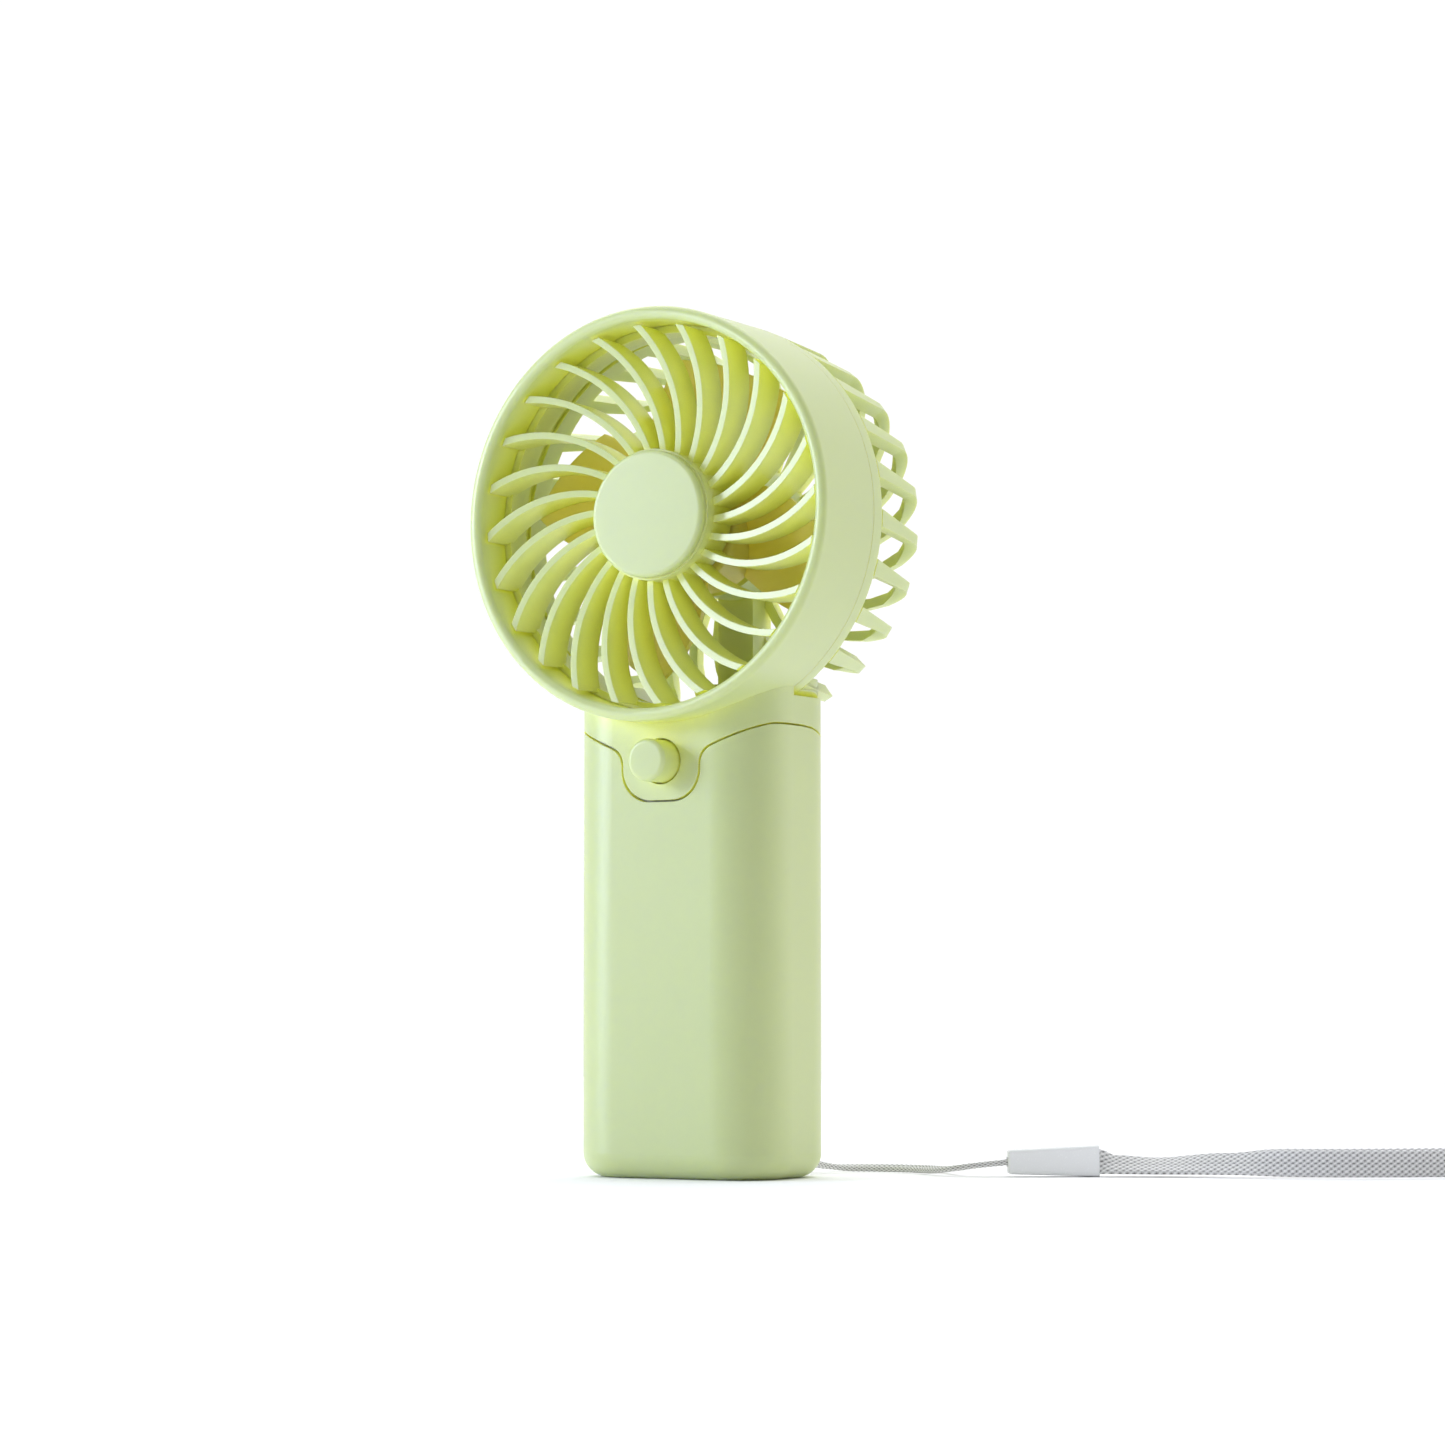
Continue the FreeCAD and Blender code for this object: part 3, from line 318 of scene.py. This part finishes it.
def moulded_plastic(name, colour, rough, variation=0.03, grain=2600.0, edge=0.0002, painted_shade_colour=None,
                    **sockets):
    """Satin moulded plastic: faint flow marks in its colour, a fine spark-eroded grain in its gloss.

    A given shade colour is painted shade for faces crowded in by others, as if lit through their thin
    walls.
    """
    look = Nodes(name, **sockets)
    flow = look.noise(34.0, detail=4.0, distortion=0.4, stretch=(1.0, 1.0, 0.45))
    skin = look.ramp(flow, [(0.25, shade(colour, 1 - variation)),
                            (0.75, shade(colour, 1 + variation))])
    if painted_shade_colour:
        # painted shade: crowded-in faces take the shade colour, except the lowest, which the floor crowds
        # in
        painted_shade_mask = look.spread(look.openness(PAINTED_SHADE_REACH), 1.0, 0.0, PAINTED_SHADE_SPAN)
        skin = look.tint(look.product(painted_shade_mask, look.height(*FLOOR_ZONE)), skin, painted_shade_colour)
    look.colour(skin)
    grain_height = look.noise(grain, detail=2.0)
    look.roughness(look.spread(grain_height, rough - 0.04, rough + 0.06))
    look.bump(grain_height, 0.00002, 0.35, edge)
    return look.material


def metal(name, colour, rough, scratch=(1.0, 1.0, 12.0), edge=0.00015):
    """Metal with fine drawn scratches."""
    look = Nodes(name, Metallic=1.0)
    lines = look.noise(900.0, detail=4.0, stretch=scratch)
    look.colour(look.ramp(lines, [(0.2, shade(colour, 0.86)), (0.8, colour)]))
    look.roughness(look.spread(lines, rough - 0.08, rough + 0.1))
    look.bump(lines, 0.00001, 0.4, edge)
    return look.material


def circuit_board(name):
    """Green solder mask, paler where it runs over the copper tracks."""
    look = Nodes(name, Roughness=0.3)
    tracks = look.add("ShaderNodeTexBrick")
    tracks.inputs["Scale"].default_value = 260.0
    tracks.inputs["Mortar Size"].default_value = 0.06
    tracks.inputs["Color1"].default_value = (*MASK_GREENS[0], 1)
    tracks.inputs["Color2"].default_value = (*MASK_GREENS[1], 1)
    tracks.inputs["Mortar"].default_value = (*TRACK_GREEN, 1)
    look.join(look.place, tracks.inputs["Vector"])
    look.colour(tracks.outputs["Color"])
    look.bump(tracks.outputs["Fac"], 0.00003, 0.6)
    return look.material


def cell_jacket(name):
    """A plain two-tone printed jacket with a bare metal cap at each end."""
    look = Nodes(name, Roughness=0.28)
    height = look.height(CELL_LOW.z, CELL_HIGH.z)
    bands = look.ramp(height, [(0.0, CAP_STEEL), (0.03, JACKET_GREEN), (0.72, JACKET_GOLD),
                               (0.975, CAP_STEEL)])
    bands.node.color_ramp.interpolation = "CONSTANT"
    look.colour(bands)
    look.bump(look.noise(300.0), 0.00002, 0.3, 0.0002)
    return look.material


def woven(name, light, dark, sheen):
    """Polyester yarn: pale crowns with painted shade darker between them, and a soft sheen."""
    look = Nodes(name, Sheen_Weight=sheen, Sheen_Roughness=0.4, Roughness=0.55)
    relief = look.add("ShaderNodeAttribute", attribute_name="relief", attribute_type="GEOMETRY")
    fibre = look.noise(5200.0, detail=3.0)
    mixed = look.add("ShaderNodeMath", operation="MULTIPLY_ADD")
    mixed.inputs[1].default_value = 0.28
    look.join(fibre, mixed.inputs[0])
    look.join(relief.outputs["Fac"], mixed.inputs[2])
    # painted shade: the lower the relief, the darker the yarn colour
    look.colour(look.ramp(mixed.outputs["Value"], [(0.25, dark), (0.62, shade(light, 0.62)), (1.0, light)]))
    look.bump(fibre, 0.00004, 0.6)
    return look.material


def make_materials():
    """One material for each of the record's slots."""
    translucent = {"Subsurface_Weight": 0.5, "Subsurface_Scale": 0.003,
                   "Subsurface_Radius": (1.0, 0.95, 0.2), "Specular_IOR_Level": 0.85}
    return {
        # the shell takes painted shade in its crowded-in faces
        "pastel_shell": moulded_plastic("pastel_shell", PASTEL, 0.36, 0.02, painted_shade_colour=PAINTED_SHADE_LIME, **translucent),
        "impeller_plastic": moulded_plastic("impeller_plastic", MUSTARD, 0.38, 0.03, **translucent),
        "slider_plastic": moulded_plastic("slider_plastic", (0.93, 0.935, 0.94), 0.25, 0.005),
        "chassis_plastic": moulded_plastic("chassis_plastic", (0.72, 0.73, 0.66), 0.42),
        "dark_plastic": moulded_plastic("dark_plastic", (0.018, 0.018, 0.02), 0.4, 0.1),
        "wire_red": moulded_plastic("wire_red", (0.42, 0.014, 0.01), 0.35, edge=0.0),
        "wire_black": moulded_plastic("wire_black", (0.012, 0.012, 0.013), 0.35, edge=0.0),
        "magnet_ferrite": moulded_plastic("magnet_ferrite", (0.03, 0.03, 0.032), 0.6, 0.15, 1200.0),
        "zinc_steel": metal("zinc_steel", (0.62, 0.64, 0.67), 0.32),
        "shaft_steel": metal("shaft_steel", (0.66, 0.66, 0.68), 0.2, (1.0, 14.0, 1.0)),
        "spring_steel": metal("spring_steel", (0.62, 0.62, 0.64), 0.25),
        "laminated_steel": metal("laminated_steel", (0.24, 0.22, 0.21), 0.45, (1.0, 20.0, 1.0)),
        "bush_bronze": metal("bush_bronze", (0.48, 0.27, 0.11), 0.4),
        "contact_metal": metal("contact_metal", (0.64, 0.56, 0.36), 0.3),
        "circuit_board": circuit_board("circuit_board"),
        "cell_jacket": cell_jacket("cell_jacket"),
        "lanyard_cord": woven("lanyard_cord", YARN_CROWN, YARN_HOLLOW_SHADE, 0.2),
    }


# ---- lanyard ------------------------------------------------------------------------------------
def loft(name, points, section, material):
    """A closed tube along a line. section(side, up, travel) gives one ring as (offset, relief) pairs."""
    bm = bmesh.new()
    relief = bm.verts.layers.float.new("relief")
    rings, travel = [], 0.0
    for i, (point, (side, up)) in enumerate(zip(points, side_frames(points))):
        if i:
            travel += (point - points[i - 1]).length
        ring = []
        for offset, height in section(side, up, travel):
            vert = bm.verts.new(point + offset)
            vert[relief] = height
            ring.append(vert)
        rings.append(ring)
    for lower, upper in zip(rings, rings[1:]):
        for k in range(len(lower)):
            after = (k + 1) % len(lower)
            bm.faces.new((lower[k], lower[after], upper[after], upper[k]))
    bm.faces.new(list(reversed(rings[0])))
    bm.faces.new(rings[-1])
    obj = mesh_object(name, bm)
    obj.data.materials.append(material)
    return obj


def braid(angle, travel, turns, pitch):
    """Height, 0 to 1, of two sets of yarns that cross over and under each other."""
    a = math.sin(turns * angle + 2 * math.pi * travel / pitch)
    b = math.sin(turns * angle - 2 * math.pi * travel / pitch)
    return max(abs(a), abs(b)) ** 1.5 * (0.6 + 0.4 * abs(a * b))


def make_strand(name, route, material):
    """A thin braided cord."""
    points = evenly(route_points(name, route), STRAND_STEP)

    def section(side, up, travel):
        ring = []
        for k in range(STRAND_SIDES):
            angle = 2 * math.pi * k / STRAND_SIDES
            height = braid(angle, travel, STRAND_TURNS, STRAND_PITCH)
            radius = STRAND_R * (STRAND_CORE + (1 - STRAND_CORE) * height)
            ring.append(((side * math.cos(angle) + up * math.sin(angle)) * radius, height))
        return ring

    return loft(name, points, section, material), points


def strap_lean(share):
    """The strap's lean in radians, eased from each of STRAP_LEANS to the next."""
    for (s0, lean0), (s1, lean1) in zip(STRAP_LEANS, STRAP_LEANS[1:]):
        if share <= s1:
            t = (share - s0) / (s1 - s0)
            eased = t * t * (3 - 2 * t)
            return math.radians(lean0 + (lean1 - lean0) * eased)
    return 0.0


def strap_outline():
    """Once round the strap's section: (side of its middle, distance across its width) pairs."""
    half_w, half_t = STRAP_WIDTH / 2, STRAP_THICK / 2
    steps = [STRAP_WIDTH * k / STRAP_ACROSS for k in range(1, STRAP_ACROSS)]
    outline = [(-half_t, -half_w + step) for step in steps]
    outline.append((0, half_w))
    outline += [(half_t, half_w - step) for step in steps]
    outline.append((0, -half_w))
    return outline


def resting(points, leaning):
    """The same line, each point at the height where the leaning strap clears the floor."""
    half_w, half_t = STRAP_WIDTH / 2, STRAP_THICK / 2
    travel, result = 0.0, []
    for i, point in enumerate(points):
        if i:
            travel += (point - points[i - 1]).length
        lean = abs(leaning(travel))
        height = half_w * math.cos(lean) + half_t * math.sin(lean) + STRAP_CLEAR
        result.append(Vector((point.x, point.y, height)))
    return result


def make_strap(name, material):
    """A flat woven wrist strap: out along one run, round the end of the loop and back."""
    route = [(x, y, STRAP_Z) for x, y in STRAP_OUT + STRAP_END + STRAP_BACK]
    level = evenly(route_points(name, route), STRAP_STEP)
    half_loop = line_length(level) / 2
    outline = strap_outline()

    def leaning(travel):
        share = min(travel, 2 * half_loop - travel) / half_loop
        return strap_lean(share) * (1 if travel < half_loop else -1)

    def section(side, up, travel):
        lean = leaning(travel)
        tall = up * math.cos(lean) + side * math.sin(lean)
        flat = side * math.cos(lean) - up * math.sin(lean)
        ring = []
        for out, across in outline:
            height = braid(across / STRAP_WIDTH * 2 * math.pi, travel, STRAP_TURNS, STRAP_PITCH)
            edge = max(0.0, abs(across) / (STRAP_WIDTH / 2) - (1 - SELVEDGE)) / SELVEDGE
            bulge = STRAP_CORE * (1 - 0.5 * edge * edge) + (1 - STRAP_CORE) * height * (1 - edge)
            ring.append((flat * out * bulge + tall * across, height))
        return ring

    points = resting(level, leaning)
    return loft(name, points, section, material), points


def make_lanyard(materials):
    """The two thin cords and the strap, in place of the CAD's plain ones."""
    for name, node, route in (("lanyard_cord_back", "lanyard_strand_back", STRAND_BACK),
                              ("lanyard_cord_front", "lanyard_strand_front", STRAND_FRONT)):
        piece, points = make_strand(name, route, materials["lanyard_cord"])
        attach(piece, "handle")
        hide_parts(node)
    strap, points = make_strap("lanyard_wrist_strap", materials["lanyard_cord"])
    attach(strap, "handle")
    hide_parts("lanyard_strap")


# ---- floor and light ----------------------------------------------------------------------------
def make_floor():
    """A pale floor that the fan stands on."""
    bm = bmesh.new()
    bmesh.ops.create_grid(bm, x_segments=8, y_segments=8, size=FLOOR_HALF)
    floor = mesh_object("studio_floor", bm)
    look = Nodes("studio_floor", Roughness=0.9)
    look.colour(look.ramp(look.noise(6.0), [(0.3, (0.98, 0.98, 0.98)), (0.7, (0.99, 0.99, 0.99))]))
    floor.data.materials.append(look.material)


def area_light(name, place, aim, size, power, colour):
    """A soft box at a place, turned towards a point."""
    data = bpy.data.lights.new(name, "AREA")
    data.shape = "RECTANGLE"
    data.size, data.size_y = size
    data.energy = power
    data.color = colour
    light = link(bpy.data.objects.new(name, data))
    light.location = place
    light.rotation_euler = (Vector(aim) - Vector(place)).to_track_quat("-Z", "Y").to_euler()


def make_world():
    """A surround that is white behind the fan and dimmer in front of it."""
    world = bpy.data.worlds.new("surround")
    world.use_nodes = True
    tree = world.node_tree
    background = tree.nodes["Background"]
    place = tree.nodes.new("ShaderNodeTexCoord")
    split = tree.nodes.new("ShaderNodeSeparateXYZ")
    ramp = tree.nodes.new("ShaderNodeValToRGB")
    shift = tree.nodes.new("ShaderNodeMapRange")
    shift.inputs["From Min"].default_value = -1.0
    shift.inputs["From Max"].default_value = 1.0
    tree.links.new(place.outputs["Generated"], split.inputs["Vector"])
    tree.links.new(split.outputs["Y"], shift.inputs["Value"])
    tree.links.new(shift.outputs["Result"], ramp.inputs["Fac"])
    tree.links.new(ramp.outputs["Color"], background.inputs["Color"])
    front, back = ramp.color_ramp.elements
    front.position, back.position = SURROUND_BLEND
    front.color = (*SURROUND_FRONT, 1)
    back.color = (1, 1, 1, 1)
    background.inputs["Strength"].default_value = SURROUND_STRENGTH
    bpy.context.scene.world = world
    bpy.context.scene.view_settings.view_transform = "Standard"


def make_lights():
    """A fairly hard key and a tall strip from the front left, a soft top light and a rim light."""
    head = (0, 0, 0.11)
    area_light("key", (-0.45, -0.48, 0.27), head, (0.12, 0.16), KEY_POWER, (0.92, 0.97, 1.18))
    area_light("strip", (-0.57, -0.42, 0.08), head, (0.30, 0.60), STRIP_POWER, (0.82, 0.95, 1.35))
    area_light("top", (-0.20, 0.45, 1.40), (0, 0.45, 0), (2.2, 2.2), TOP_POWER, (0.97, 0.99, 1.06))
    area_light("side", (0.75, 0.58, 0.30), head, (0.5, 0.9), SIDE_POWER, (1.0, 1.0, 1.0))


def finish_nodes(materials):
    """Gives every CAD node the material of its slot."""
    for entry in frame["record"]["subparts"]:
        slots = FAN_NODES[entry["node"]].data.materials
        slots.clear()
        slots.append(materials[entry["material_slot"]])


make_camera()
all_materials = make_materials()
make_lanyard(all_materials)
finish_nodes(all_materials)
make_floor()
make_world()
make_lights()
